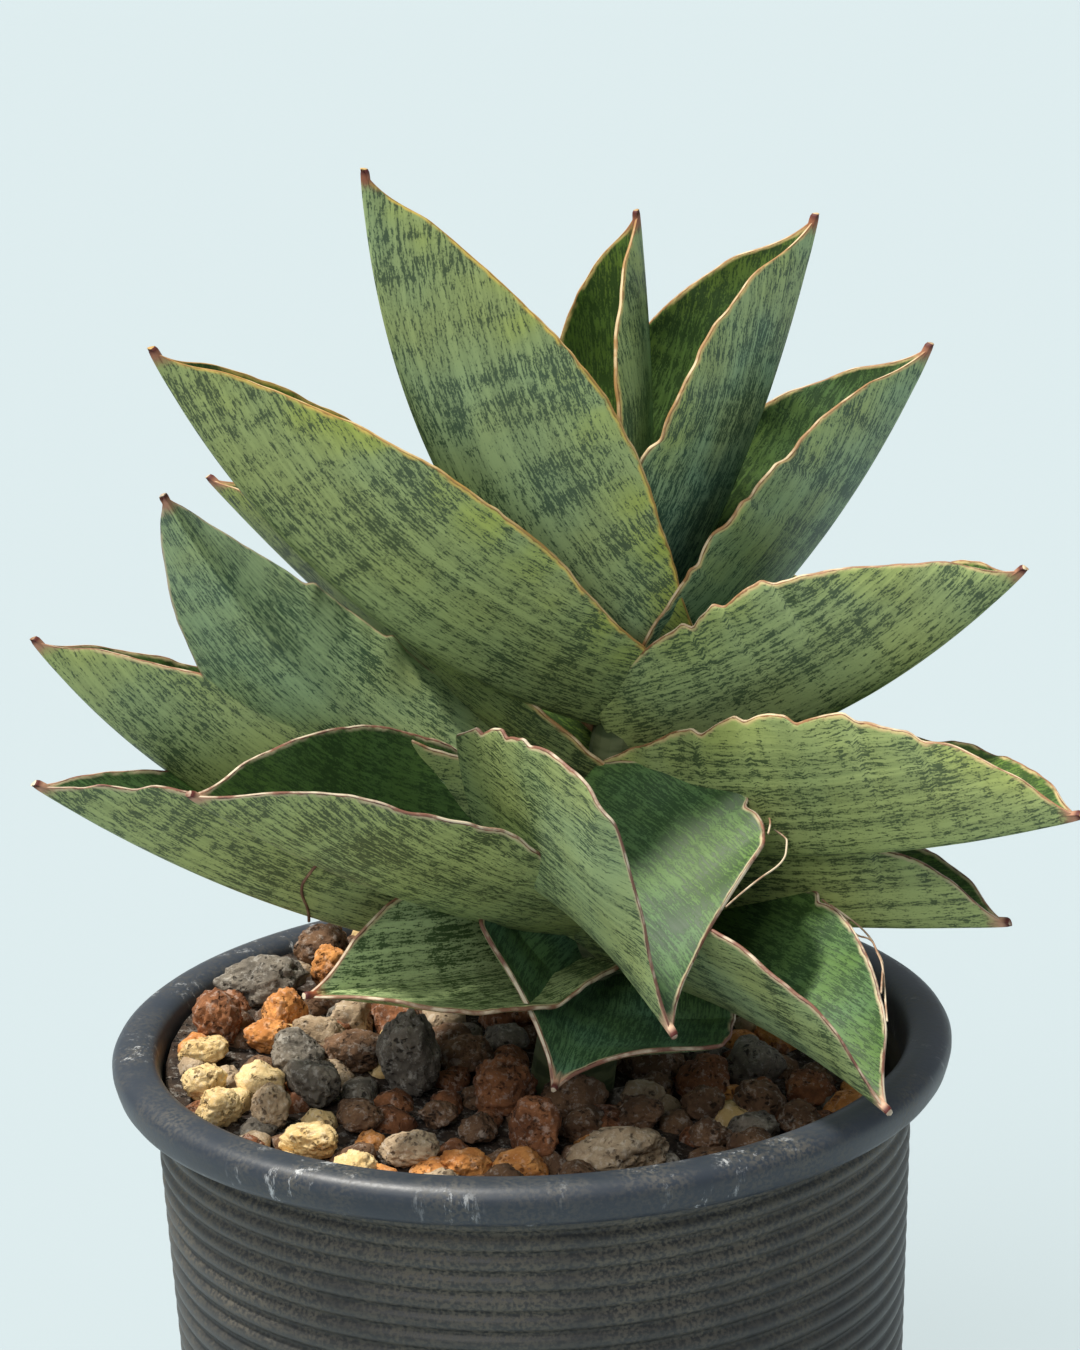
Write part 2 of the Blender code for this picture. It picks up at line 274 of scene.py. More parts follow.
def mineral_grain():
    """Porous volcanic rock: mottled colour, pores painted dark as painted shade, and its relief."""
    tree, given, out = effect(
        "mineral grain",
        [("Place", "place"), ("Light", "colour"), ("Dark", "colour"), ("Pore", "colour")],
        [("Colour", "colour"), ("Height", "value")],
    )
    cloud = speckle(tree, given["Place"], 170, 4, 0.6)
    fine = speckle(tree, given["Place"], 1300, 4, 0.7)
    colour = blended(tree, step(tree, cloud, 0.34, 0.66), given["Dark"], given["Light"])
    mottle = maths(tree, "MULTIPLY", step(tree, fine, 0.62, 0.40), 0.42)
    colour = blended(tree, mottle, colour, given["Dark"])
    crust = step(tree, speckle(tree, given["Place"], 620, 5, 0.75), 0.52, 0.62)
    chalky = blended(tree, 0.5, given["Light"], (1, 0.97, 0.9, 1))
    colour = blended(tree, maths(tree, "MULTIPLY", crust, 0.30), colour, chalky)
    sockets = {"Vector": given["Place"], "Scale": 900, "Detail": 3.0}
    warp = node(tree, "ShaderNodeTexNoise", sockets).outputs[1]
    warped = blended(tree, 0.0021, given["Place"], warp, "ADD")
    cells = node(tree, "ShaderNodeTexVoronoi", {"Vector": warped, "Scale": 760.0}).outputs[0]
    open_here = step(tree, speckle(tree, given["Place"], 300, 3), 0.44, 0.60)
    pore = maths(tree, "MULTIPLY", step(tree, cells, 0.46, 0.20), open_here)
    # Painted shade: the pores, which are only a bump, are darkened towards the pore colour.
    colour = blended(tree, maths(tree, "MULTIPLY", pore, 0.85), colour, given["Pore"])
    height = maths(tree, "SUBTRACT", maths(tree, "MULTIPLY", fine, 0.7), pore)
    tree.links.new(colour, out.inputs["Colour"])
    tree.links.new(height, out.inputs["Height"])
    return tree


GRAIN = mineral_grain()


def rock(name, light, dark, pore, relief=0.7):
    """One kind of stone, matte and rough."""
    made, tree, shader, place = finish(name, 0.92, Specular_IOR_Level=0.25)
    sockets = {"Place": place, "Light": (*light, 1), "Dark": (*dark, 1), "Pore": (*pore, 1)}
    grain = node(tree, "ShaderNodeGroup", sockets, node_tree=GRAIN)
    tree.links.new(grain.outputs["Colour"], shader.inputs["Base Color"])
    roughen(tree, shader, grain.outputs["Height"], relief, 0.9 * MM)
    return made


bed = frame["nodes"]["gravel_bed"]
bed.data.materials.clear()
# Painted shade: the bed is coloured nearly black, for the shade deep between the stones.
bed.data.materials.append(
    rock("grit between stones", (0.075, 0.05, 0.034), (0.02, 0.014, 0.011), (0.008, 0.006, 0.005), 1.0)
)


# ---- Larger stones ----
# Loose lumps of pumice, lava and baked clay on top of the mix: worn corners, some
# flat faces and open pores, each of its own colour.
FACETS = 10
FACET_POWER = 15                   # the higher, the sharper the edge between two facets
CORNER_WEAR = 0.20
STONE_TILT = 0.35                  # radians, the most
STONE_GROWTH = 1.06                # width over the frame's stone's, so that neighbours meet
STONE_SUNK = 0.10                  # added below, as a share of the height
ROCKS = {
    "grey": rock("grey lava", (0.25, 0.215, 0.17), (0.115, 0.10, 0.082), (0.028, 0.024, 0.020)),
    "brown": rock("brown lava", (0.23, 0.130, 0.072), (0.095, 0.052, 0.030), (0.026, 0.015, 0.010)),
    "orange": rock("orange clay", (0.74, 0.34, 0.105), (0.44, 0.165, 0.045), (0.13, 0.045, 0.016)),
    "rust": rock("rust lava", (0.34, 0.140, 0.060), (0.14, 0.055, 0.025), (0.040, 0.016, 0.009)),
    "cream": rock("cream pumice", (0.82, 0.64, 0.34), (0.56, 0.37, 0.15), (0.19, 0.12, 0.055)),
    "pale": rock("pale pumice", (0.52, 0.40, 0.27), (0.31, 0.22, 0.135), (0.085, 0.058, 0.038)),
}


def hew(stone, size, middle, chance):
    """Shape a unit ball into a worn stone: soft facets, dents and pits, at its size and place."""
    facets = []
    for _ in range(FACETS):
        facing = Vector((chance.gauss(0, 1), chance.gauss(0, 1), chance.gauss(0, 1))).normalized()
        facets.append((facing, chance.uniform(0.72, 1.06)))
    shift = Vector((chance.uniform(0, 50), chance.uniform(0, 50), chance.uniform(0, 50)))
    turn = Matrix.Rotation(chance.uniform(-STONE_TILT, STONE_TILT), 3, "X")
    turn = turn @ Matrix.Rotation(chance.uniform(-STONE_TILT, STONE_TILT), 3, "Y")
    for point in stone.data.vertices:
        way = point.co.normalized()
        total = CORNER_WEAR
        for facing, far in facets:
            total += max(way.dot(facing) / far, 0) ** FACET_POWER
        reach = total ** (-1 / FACET_POWER)
        reach *= 1 + 0.12 * noise.noise(way * 1.7 + shift) + 0.05 * noise.noise(way * 4.1 + shift)
        reach += 0.075 * noise.fractal(way * 4.4 + shift, 0.7, 2.2, 4)
        from_pit = noise.voronoi(way * 3.4 + shift)[0][0]
        if noise.cell_vector(way * 4.2 + shift).x > 0.35:
            reach -= 0.07 * max(1 - from_pit * 3.0, 0)
        point.co = turn @ (way * reach)
    low = [min(p.co[k] for p in stone.data.vertices) for k in range(3)]
    high = [max(p.co[k] for p in stone.data.vertices) for k in range(3)]
    for point in stone.data.vertices:
        for k in range(3):
            share = (point.co[k] - low[k]) / (high[k] - low[k])
            point.co[k] = middle[k] + (share - 0.5) * size[k]


chance = random.Random(11)
stone_places = []
for name in sorted(n for n in frame["nodes"] if n.startswith("stone_")):
    low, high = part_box(name)
    size, middle = high - low, (low + high) / 2
    bpy.ops.mesh.primitive_ico_sphere_add(subdivisions=5, radius=1)
    stone = bpy.context.object
    stone.name = "lump_" + name[-2:]
    sunk = STONE_SUNK * size.z
    grown = (size.x * STONE_GROWTH, size.y * STONE_GROWTH, size.z + sunk)
    hew(stone, grown, middle - Vector((0, 0, sunk / 2)), chance)
    kind = next(s["material_slot"] for s in frame["record"]["subparts"] if s["node"] == name)
    stone.data.materials.append(ROCKS[kind.replace("_stone", "")])
    bpy.ops.object.shade_smooth()
    stone.select_set(False)
    stone_places.append((middle.x, middle.y, size.x / 2, size.y / 2))
    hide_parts(name)
    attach(stone, "root")


# ---- Gravel between them ----
# Smaller grains of the same rocks, which fill the surface from wall to wall; the
# upper ones lie loose and the lower ones are half sunk.
GRAIN_NEAREST = 0.86               # between two grains of a layer, 1 just touches
GRAIN_TRIES = 60                   # tries for each grain wanted
STEM_HOLE = 9 * MM                 # radius round the stem that stays free
# Painted sunlight: the share below makes pale grains commoner at the front left, where the sun falls.
PAINTED_SUN_SHARE = 2.6                    # how much commoner light grains are at the front left
# Widest and least width in mm, count, rounds of subdivision, lift as a share of the
# height, and how near a grain may come to a larger stone (1 just touches)
GRAIN_LAYERS = ((11.0, 8.0, 70, 4, 0.30, 0.92), (8.6, 6.2, 170, 3, 0.02, 0.45))


def lay_grains():
    """Places and sizes of the grains: none on another of its own layer."""
    chance = random.Random(5)
    laid = []
    for widest, least, count, rounds, lift, tight in GRAIN_LAYERS:
        own = []
        for _ in range(count * GRAIN_TRIES):
            if len(own) == count:
                break
            angle, reach = chance.uniform(0, 2 * math.pi), math.sqrt(chance.random())
            half = chance.uniform(least, widest) / 2 * MM
            x = (BED_RADIUS - half) * reach * math.cos(angle)
            y = (BED_RADIUS - half) * reach * math.sin(angle)
            clear = all(math.hypot(x - a, y - b) > (half + c) * GRAIN_NEAREST for a, b, c in own)
            clear = clear and all(
                math.hypot((x - a) / (w + half), (y - b) / (d + half)) > tight
                for a, b, w, d in stone_places
            )
            if clear and math.hypot(x - 6 * MM, y - 2 * MM) > STEM_HOLE:
                own.append((x, y, half))
        laid.append((own, rounds, lift))
    return laid


GRAIN_SHARES = {"brown": 30, "grey": 20, "rust": 22, "pale": 10, "orange": 10, "cream": 8}
PAINTED_SUN_SHARES = {
    kind: share * (PAINTED_SUN_SHARE if kind in ("cream", "orange", "pale") else 1)
    for kind, share in GRAIN_SHARES.items()
}
chance = random.Random(23)
grains = {kind: [] for kind in GRAIN_SHARES}
for own, rounds, lift in lay_grains():
    for x, y, half in own:
        bpy.ops.mesh.primitive_ico_sphere_add(subdivisions=rounds, radius=1)
        grain = bpy.context.object
        high = half * chance.uniform(1.5, 2.0)
        size = (half * 2 * chance.uniform(0.9, 1.15), half * 2 * chance.uniform(0.9, 1.15), high)
        middle = (x, y, bed_height(x, y) + high * (lift - 0.05))
        hew(grain, size, middle, chance)
        # Painted light and shade: pale kinds at the sunlit front left, the darker usual mix elsewhere
        # under the leaves.
        shares = PAINTED_SUN_SHARES if x < -20 * MM and y < 20 * MM else GRAIN_SHARES
        kind = chance.choices(list(shares), list(shares.values()))[0]
        grains[kind].append(grain)
        grain.select_set(False)
for kind, members in grains.items():
    for grain in members:
        grain.select_set(True)
    bpy.context.view_layer.objects.active = members[0]
    bpy.ops.object.join()
    joined = bpy.context.object
    joined.name = "gravel_" + kind
    joined.data.materials.append(ROCKS[kind])
    bpy.ops.object.shade_smooth()
    joined.select_set(False)
    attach(joined, "root")


# ---- Stem ----
# The short fleshy stem that the leaves grow from, painted dark green as painted shade
# among the leaf bases, and ringed by old leaf scars; the leaf bases hide nearly all of it.
def stem_skin():
    """Green-brown skin with rings across it, painted dark as shade among the leaf bases."""
    made, tree, shader, place = finish("stem skin", 0.6)
    rings = node(tree, "ShaderNodeMapping", {"Vector": place, "Scale": (0.25, 0.25, 1)}).outputs[0]
    ring = speckle(tree, rings, 420, 2)
    # Painted shade: both colours are kept dark for the shade among the leaf bases.
    colour = blended(tree, step(tree, ring, 0.4, 0.6), (0.045, 0.065, 0.022, 1), (0.12, 0.14, 0.06, 1))
    tree.links.new(colour, shader.inputs["Base Color"])
    roughen(tree, shader, ring, 0.5, 0.4 * MM)
    return made


stem = frame["nodes"]["stem"]
stem.data.materials.clear()
stem.data.materials.append(stem_skin())


# ---- Leaves ----
# Thick folded leaves, set round the stem one above the other: a keel along the
# middle, convex flanks, a hard red-brown margin with a cream line and a horny tip.
LEAF_ROWS = 72
LEAF_COLUMNS = 20
KEEL_THICK = 2.6 * MM
EDGE_SHARE = 0.30                  # margin's thickness over the keel's
LEAF_BULGE = 10                    # degrees a flank's slope changes by, each way
BASE_FOLD = 38                     # half fold in degrees where the leaf clasps the stem
LEAF_FULL = 0.45                   # share of the length at which a leaf is widest
JAG_LENGTH = 0.09                  # share of the length over which a tooth's notch closes
JAG_LIP = 0.03                     # the same for the lip before it
JAG_DEPTH = 1.5 * MM
KEEL_START = 3 * MM                # from the stem's axis to the keel's foot
STEM_FOOT = Vector((6, 2, 112)) * MM
STEM_TOP = Vector((21, -4, 205)) * MM

# Frame's node: height over the pot's top edge, heading, rise, gain of rise, length, half
# width, half fold, roll, side shift | base share, ripple, jags (share of the length and
# side) | teal, glow (a painted glow of sun shining through the leaf), age (an age of 0
# also paints the inner face pale, a painted sun patch)
LEAVES = {
    "leaf_01": (7, 257, -3, -10, 37, 28, 62, 28, 2, 1.00, 0.5, (), 0.75, 0.0, 0.6),
    # leaf_02's last value of 0 paints its whole inner face pale: a painted sun patch.
    "leaf_02": (12, 215, 1, 12, 58, 20, 48, 40, 0, 0.70, 0.7, (), 0.15, 0.1, 0.0),
    "leaf_03": (3, 55, 2, 6, 60, 22, 42, 0, 0, 0.60, 0.6, (), 0.5, 0.1, 0.5),
    "leaf_04": (6, 108, 2, 8, 66, 23, 40, 0, 0, 0.60, 0.6, (), 0.4, 0.1, 0.5),
    "leaf_05": (
        10, 306, 9, -24, 78, 26, 36, 6, 0, 0.80, 0.5, ((0.30, -1), (0.52, 1)), 0.45, 0.0, 0.8,
    ),
    "leaf_06": (10, 196, 11, 30, 106, 25, 35, -4, 0, 0.60, 0.6, ((0.86, 1), (0.93, 1)), 0.25, 0.0, 0.5),
    "leaf_07": (17, 144, 5, 16, 82, 24, 38, 0, 0, 0.60, 0.6, (), 0.4, 0.1, 0.4),
    "leaf_08": (16, 222, 18, 22, 98, 30, 38, 20, 0, 0.70, 0.6, ((0.30, 1), (0.38, 1)), 0.2, 0.0, 0.6),
    "leaf_09": (17, 28, 4, 12, 78, 25, 38, 0, 0, 0.60, 0.6, (), 0.5, 0.1, 0.4),
    "leaf_10": (22, 331, -2, 14, 76, 23, 36, 20, 0, 0.60, 0.5, ((0.72, -1),), 0.15, 0.0, 0.6),
    "leaf_11": (24, 188, 1, 58, 113, 31, 36, -14, 0, 0.75, 0.6, (), 0.3, 0.2, 0.4),
    "leaf_12": (23, 84, 4, 14, 90, 26, 36, 0, 0, 0.60, 0.6, (), 0.4, 0.1, 0.4),
    "leaf_13": (
        34, 206, 24, 40, 108, 23, 40, -83, 0, 1.00, 0.8,
        ((0.34, 1), (0.47, 1), (0.66, 1)), 0.45, 0.0, 0.3,
    ),
    "leaf_14": (
        36, 306, -4, -30, 53, 38, 38, 22, -28, 0.72, 0.9,
        ((0.12, -1), (0.24, -1), (0.34, -1), (0.5, 1)), 0.35, 0.0, 1.0,
    ),
    "leaf_15": (32, 128, 18, 20, 95, 27, 36, 0, 0, 0.60, 0.6, (), 0.4, 0.2, 0.3),
    "leaf_16": (
        34, 319, 2, 22, 99, 28, 35, 22, 0, 0.60, 0.7,
        ((0.26, -1), (0.37, -1), (0.50, -1), (0.62, -1), (0.74, -1)), 0.2, 0.3, 0.4,
    ),
    "leaf_17": (40, 58, 4, 18, 88, 27, 36, 0, 0, 0.60, 0.6, (), 0.4, 0.2, 0.3),
    "leaf_18": (41, 166, 30, 20, 90, 20, 40, 0, 0, 0.60, 0.6, (), 0.3, 0.5, 0.3),
    "leaf_19": (
        46, 328, 13, 36, 90, 28, 36, 16, 0, 0.70, 0.7,
        ((0.32, -1), (0.42, -1), (0.56, -1)), 0.25, 0.3, 0.3,
    ),
    "leaf_20": (50, 100, 28, 16, 92, 28, 36, 0, 0, 0.60, 0.6, (), 0.4, 0.3, 0.3),
    "leaf_21": (55, 202, 20, 48, 113, 33, 34, 0, 0, 0.60, 0.5, (), 0.2, 0.9, 0.2),
    "leaf_22": (
        53, 4, 34, 34, 87, 29, 36, -6, 5, 0.52, 0.7,
        ((0.36, -1), (0.55, -1), (0.66, -1)), 0.62, 0.4, 0.2,
    ),
    "leaf_23": (62, 210, 39, 52, 110, 33, 34, 0, 0, 0.60, 0.4, (), 0.35, 1.0, 0.1),
    "leaf_24": (
        64, 0, 57, 22, 86, 30, 36, -14, 8, 0.40, 0.7, ((0.35, -1), (0.5, -1)), 0.95, 0.5, 0.1,
    ),
    "leaf_25": (71, 20, 82, 14, 75, 21, 50, -2, 3, 0.22, 0.4, (), 0.9, 0.6, 0.1),
}


def half_width_at(along, length, width, base, jags, side, seed):
    """Half width on one side at a share of the length, with the margin's teeth."""
    if along < LEAF_FULL:
        reach = base + (1 - base) * math.sin(along / LEAF_FULL * math.pi / 2)
    else:
        reach = (1 - ((along - LEAF_FULL) / (1 - LEAF_FULL)) ** 2) ** 0.9
    to_tip = (1 - along) * length / MM
    reach = min(reach * width, (0.35 + 0.5 * to_tip + 0.07 * to_tip ** 2) * MM)
    fade = min(to_tip / 12, 1)
    reach += 0.30 * MM * fade * noise.noise(Vector((along * length / MM * 0.45, seed * 9, side * 5)))
    for place, hand in jags:
        past = along - place
        if hand == side and 0 <= past < JAG_LENGTH:
            reach -= JAG_DEPTH * (1 - past / JAG_LENGTH) ** 1.5
        if hand == side and -JAG_LIP < past < 0:
            reach += JAG_DEPTH / 3 * (1 + past / JAG_LIP)
    return reach


def shape_leaf(blade, row, seed):
    """Bend a flat grid into the leaf, write its surface measures to it and return its lines."""
    over_rim, heading, rise, gain, length, width, half_fold, roll, shift, *rest = row
    base, ripple, jags, *tone_and_glow = rest
    turns = (heading, rise, gain, half_fold, roll)
    heading, rise, gain, half_fold, roll = (math.radians(value) for value in turns)
    length, width, shift = length * MM, width * MM, shift * MM
    mesh = blade.data
    measures = {"leaf_place": [], "leaf_reach": [], "leaf_tone": []}
    thick = blade.vertex_groups.new(name="thick")
    up_stem = (POT_TOP + over_rim * MM - STEM_FOOT.z) / (STEM_TOP.z - STEM_FOOT.z)
    foot = STEM_FOOT.lerp(STEM_TOP, up_stem)
    turn = Matrix.Rotation(heading, 3, "Z")
    start = foot + turn @ Vector((KEEL_START, shift, 0))
    bulge = math.radians(LEAF_BULGE)
    for index, point in enumerate(mesh.vertices):
        across, along = point.co.x, (point.co.y + 1) / 2
        side = 1 if across >= 0 else -1
        share = 1 - (1 - abs(across)) ** 1.25
        half = half_width_at(along, length, width, base, jags, side, seed)
        slope = rise + gain * along
        forward = Vector((math.cos(slope), 0, math.sin(slope)))
        spin = Matrix.Rotation(-roll, 3, forward)
        normal = spin @ Vector((-forward.z, 0, forward.x))
        left = spin @ Vector((0, 1, 0))
        keel = Vector((math.sin(slope) - math.sin(rise), 0, math.cos(rise) - math.cos(slope)))
        keel *= length / gain
        near_base, near_tip = min(along / 0.3, 1), max((along - 0.6) / 0.4, 0)
        fold = math.radians(BASE_FOLD) * (1 - near_base) + half_fold * near_base
        fold *= 1 - 0.25 * near_tip
        near = fold + bulge
        far = near - 2 * bulge * share
        up = half * (math.sin(near) - math.sin(far)) / (2 * bulge)
        out = half * (math.cos(far) - math.cos(near)) / (2 * bulge)
        from_foot = along * length / MM
        wave = noise.noise(Vector((from_foot * 0.09, seed * 3.3, side * 7))) * 2.2 * MM
        wave += noise.noise(Vector((from_foot * 0.28, seed * 5.1, side * 3))) * 0.6 * MM
        wave *= ripple * share ** 3 * min((1 - along) * 5, 1)
        lie = keel + normal * (up - math.cos(far) * wave) + left * side * (out + math.sin(far) * wave)
        point.co = start + turn @ lie
        measures["leaf_place"] += (side * share * half / MM, along * length / MM, seed * 40)
        measures["leaf_reach"] += ((1 - share) * half / MM, (1 - along) * length / MM, share)
        measures["leaf_tone"] += tone_and_glow
        slim = 1 - share * (1 - EDGE_SHARE)
        slim *= 1 - 0.55 * max(along - 0.72, 0) / 0.28
        thick.add([index], slim, "REPLACE")
    for name, values in measures.items():
        mesh.attributes.new(name, "FLOAT_VECTOR", "POINT").data.foreach_set("vector", values)
    columns = len(mesh.vertices) // (LEAF_ROWS + 1)
    places = [point.co.copy() for point in mesh.vertices]
    return [places[line * columns:(line + 1) * columns] for line in range(LEAF_ROWS + 1)]


def streaks():
    """Broken dark dashes along the leaf, crowded into soft cross bands, over fine ribs."""
    tree, given, out = effect(
        "leaf streaks",
        [("Place", "place"), ("Light", "colour"), ("Dark", "colour"), ("Crowding", "value")],
        [("Colour", "colour"), ("Mask", "value"), ("Height", "value")],
    )

    def drawn_out(along, scale, detail, rough, across=1.0):
        sockets = {"Vector": given["Place"], "Scale": (across, along, 1)}
        return speckle(tree, node(tree, "ShaderNodeMapping", sockets).outputs[0], scale, detail, rough)

    lines = drawn_out(0.012, 0.95, 1, 0.5)
    dash = drawn_out(0.15, 2.6, 2, 0.6)
    dots = drawn_out(0.6, 3.4, 2, 0.6)
    bands = drawn_out(1.0, 0.17, 3, 0.62, 0.13)
    clouds = drawn_out(0.6, 0.07, 2, 0.5)
    crowd = maths(tree, "MULTIPLY_ADD", step(tree, bands, 0.36, 0.66), 0.085, given["Crowding"])
    crowd = maths(tree, "MULTIPLY_ADD", step(tree, clouds, 0.35, 0.65), 0.04, crowd)
    crowd = maths(tree, "MULTIPLY_ADD", maths(tree, "SUBTRACT", lines, 0.5), 0.24, crowd)
    mark = maths(tree, "MULTIPLY_ADD", dots, 0.34, maths(tree, "MULTIPLY", dash, 0.66))
    mark = maths(tree, "ADD", mark, crowd)
    mask = step(tree, mark, 0.550, 0.650)
    light = blended(tree, 0.22, given["Light"], given["Dark"])
    light = blended(tree, step(tree, lines, 0.36, 0.60), given["Light"], light)
    soft = step(tree, mark, 0.46, 0.66)
    light = blended(tree, maths(tree, "MULTIPLY", soft, 0.30), light, given["Dark"])
    colour = blended(tree, maths(tree, "MULTIPLY", mask, 0.86), light, given["Dark"])
    tree.links.new(colour, out.inputs["Colour"])
    tree.links.new(mask, out.inputs["Mask"])
    tree.links.new(lines, out.inputs["Height"])
    return tree


def leaf_edges():
    """The margin's red-brown line with cream inside it, and the horny tip."""
    tree, given, out = effect(
        "leaf edges",
        [("Place", "place"), ("Reach", "place"), ("Tone", "place"), ("Flesh", "colour")],
        [("Colour", "colour"), ("Mask", "value")],
    )
    to_edge, to_tip, _ = parts_of(tree, given["Reach"])
    _, glow, age_and_sun_patch = parts_of(tree, given["Tone"])
    waver = maths(tree, "SUBTRACT", speckle(tree, given["Place"], 0.5, 3), 0.5)
    inset = maths(tree, "MULTIPLY_ADD", waver, 0.9, to_edge)
    # Painted light: glow turns the cream line yellow, for sun shining through the margin.
    cream = blended(tree, glow, (0.52, 0.43, 0.26, 1), (0.72, 0.50, 0.10, 1))
    broken = step(tree, speckle(tree, given["Place"], 0.16, 2), 0.36, 0.56)
    line = maths(tree, "MULTIPLY", step(tree, inset, 1.1, 0.5), broken)
    colour = blended(tree, maths(tree, "MULTIPLY", line, 0.85), given["Flesh"], cream)
    dry = step(tree, speckle(tree, given["Place"], 0.3, 3), 0.4, 0.62)
    brown = blended(tree, dry, (0.10, 0.038, 0.028, 1), (0.30, 0.14, 0.085, 1))
    # Painted light: glow turns the brown rim yellow too.
    brown = blended(tree, maths(tree, "MULTIPLY", glow, 0.45), brown, (0.60, 0.36, 0.06, 1))
    rim = step(tree, inset, 0.42, 0.12)
    colour = blended(tree, rim, colour, brown)
    tip = blended(tree, age_and_sun_patch, (0.26, 0.075, 0.03, 1), (0.62, 0.40, 0.27, 1))
    from_tip = maths(tree, "MULTIPLY_ADD", waver, 2.7, to_tip)
    colour = blended(tree, step(tree, from_tip, 4.6, 1.6), colour, tip)
    colour = blended(tree, step(tree, to_tip, 1.7, 0.5), colour, (0.10, 0.02, 0.015, 1))
    tree.links.new(colour, out.inputs["Colour"])
    tree.links.new(rim, out.inputs["Mask"])
    return tree


STREAKS = streaks()
EDGES = leaf_edges()


def measure(tree, name):
    """A leaf's own attribute: place on the skin, reach to the edges, or colour and painted glow."""
    made = node(tree, "ShaderNodeAttribute", attribute_type="GEOMETRY", attribute_name=name)
    return made.outputs["Vector"]


def leaf_skin(name, light, dark, teal_light, teal_dark, glow_light, crowding, roughness):
    """Waxy leaf skin, olive or teal by the leaf's teal share, with a painted yellow glow by the margin
    for sun shining through the leaf.
    """
    made, tree, shader, place = finish(name, roughness, Specular_IOR_Level=0.38)
    surface, reach, tone_and_glow = (measure(tree, n) for n in ("leaf_place", "leaf_reach", "leaf_tone"))
    teal, glow, age_and_sun_patch = parts_of(tree, tone_and_glow)
    cloud = step(tree, speckle(tree, place, 28, 3), 0.36, 0.66)
    spread = maths(tree, "MULTIPLY_ADD", cloud, 0.9, 0.4)
    share = node(tree, "ShaderNodeClamp", {0: maths(tree, "MULTIPLY", teal, spread)}).outputs[0]
    # Painted light: where glow is high the inner face loses its teal, for the saturated green of sun
    # shining through.
    if name == "leaf inner skin":
        share = maths(tree, "MULTIPLY", share, step(tree, glow, 0.6, 0.2))
    # Painted light: a yellow glow by the margin, scaled by the leaf's glow, for sun shining through it.
    patches = step(tree, speckle(tree, surface, 0.05, 2), 0.40, 0.62)
    shine = maths(tree, "MULTIPLY", step(tree, parts_of(tree, reach)[0], 11, 0.5), patches)
    shine = maths(tree, "MULTIPLY", maths(tree, "MULTIPLY", shine, glow), 0.8)
    pale = blended(tree, share, (*light, 1), (*teal_light, 1))
    pale = blended(tree, shine, pale, (*glow_light, 1))
    # Painted light: a leaf whose last value is 0 has its inner face painted pale, a painted sun patch.
    if name == "leaf inner skin":
        painted_sun_patch = step(tree, age_and_sun_patch, 0.06, 0.0)
        pale = blended(tree, painted_sun_patch, pale, (0.42, 0.52, 0.24, 1))
    deep = blended(tree, share, (*dark, 1), (*teal_dark, 1))
    sockets = {"Place": surface, "Light": pale, "Dark": deep, "Crowding": crowding}
    marks = node(tree, "ShaderNodeGroup", sockets, node_tree=STREAKS).outputs
    sockets = {"Place": surface, "Reach": reach, "Tone": tone_and_glow, "Flesh": marks["Colour"]}
    edges = node(tree, "ShaderNodeGroup", sockets, node_tree=EDGES).outputs
    tree.links.new(edges["Colour"], shader.inputs["Base Color"])
    rough = maths(tree, "MULTIPLY_ADD", marks["Mask"], -0.06, roughness)
    tree.links.new(rough, shader.inputs["Roughness"])
    relief = maths(tree, "MULTIPLY_ADD", marks["Mask"], -0.2, marks["Height"])
    roughen(tree, shader, relief, 0.45, 0.22 * MM)
    return made


def margin_skin():
    """The hard dry edge itself, turned yellow by glow as painted light shining through it."""
    made, tree, shader, place = finish("leaf margin", 0.6)
    glow = parts_of(tree, measure(tree, "leaf_tone"))[1]
    worn = step(tree, speckle(tree, place, 160, 4), 0.42, 0.6)
    colour = blended(tree, worn, (0.20, 0.085, 0.055, 1), (0.62, 0.52, 0.38, 1))
    # Painted light: glow turns the dry edge yellow, for sun shining through it.
    colour = blended(tree, maths(tree, "MULTIPLY", glow, 0.6), colour, (0.68, 0.42, 0.08, 1))
    tree.links.new(colour, shader.inputs["Base Color"])
    return made


outer_skin = leaf_skin(
    "leaf outer skin",
    light=(0.365, 0.415, 0.130), dark=(0.046, 0.064, 0.020),
    teal_light=(0.250, 0.410, 0.265), teal_dark=(0.026, 0.088, 0.062),
    glow_light=(0.46, 0.52, 0.07), crowding=0.0, roughness=0.54,
)
# Painted shade: the inner skin is far darker than the outer, for the shade inside the folds.
shaded_inner_skin = leaf_skin(
    "leaf inner skin",
    light=(0.088, 0.165, 0.020), dark=(0.024, 0.058, 0.007),
    teal_light=(0.085, 0.19, 0.120), teal_dark=(0.014, 0.050, 0.032),
    glow_light=(0.22, 0.30, 0.03), crowding=0.03, roughness=0.60,
)
margin = margin_skin()

blades = {}
for seed, (name, row) in enumerate(LEAVES.items(), start=1):
    bpy.ops.mesh.primitive_grid_add(x_subdivisions=LEAF_COLUMNS, y_subdivisions=LEAF_ROWS, size=2)
    blade = bpy.context.object
    blade.name = "grown_" + name
    blade.location = (0, 0, 0)
    blades[name] = shape_leaf(blade, row, seed)
    for skin in (outer_skin, shaded_inner_skin, margin):
        blade.data.materials.append(skin)
    flesh = blade.modifiers.new("flesh", "SOLIDIFY")
    flesh.thickness = KEEL_THICK
    flesh.offset = -1
    flesh.use_even_offset = True
    flesh.vertex_group = "thick"
    flesh.thickness_vertex_group = 0.05
    flesh.material_offset = 1
    flesh.material_offset_rim = 2
    bpy.ops.object.modifier_apply(modifier=flesh.name)
    smooth = blade.modifiers.new("smooth", "SUBSURF")
    smooth.levels = smooth.render_levels = 1
    bpy.ops.object.modifier_apply(modifier=smooth.name)
    bpy.ops.object.shade_smooth()
    blade.select_set(False)
    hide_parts(name)
    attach(blade, "root")


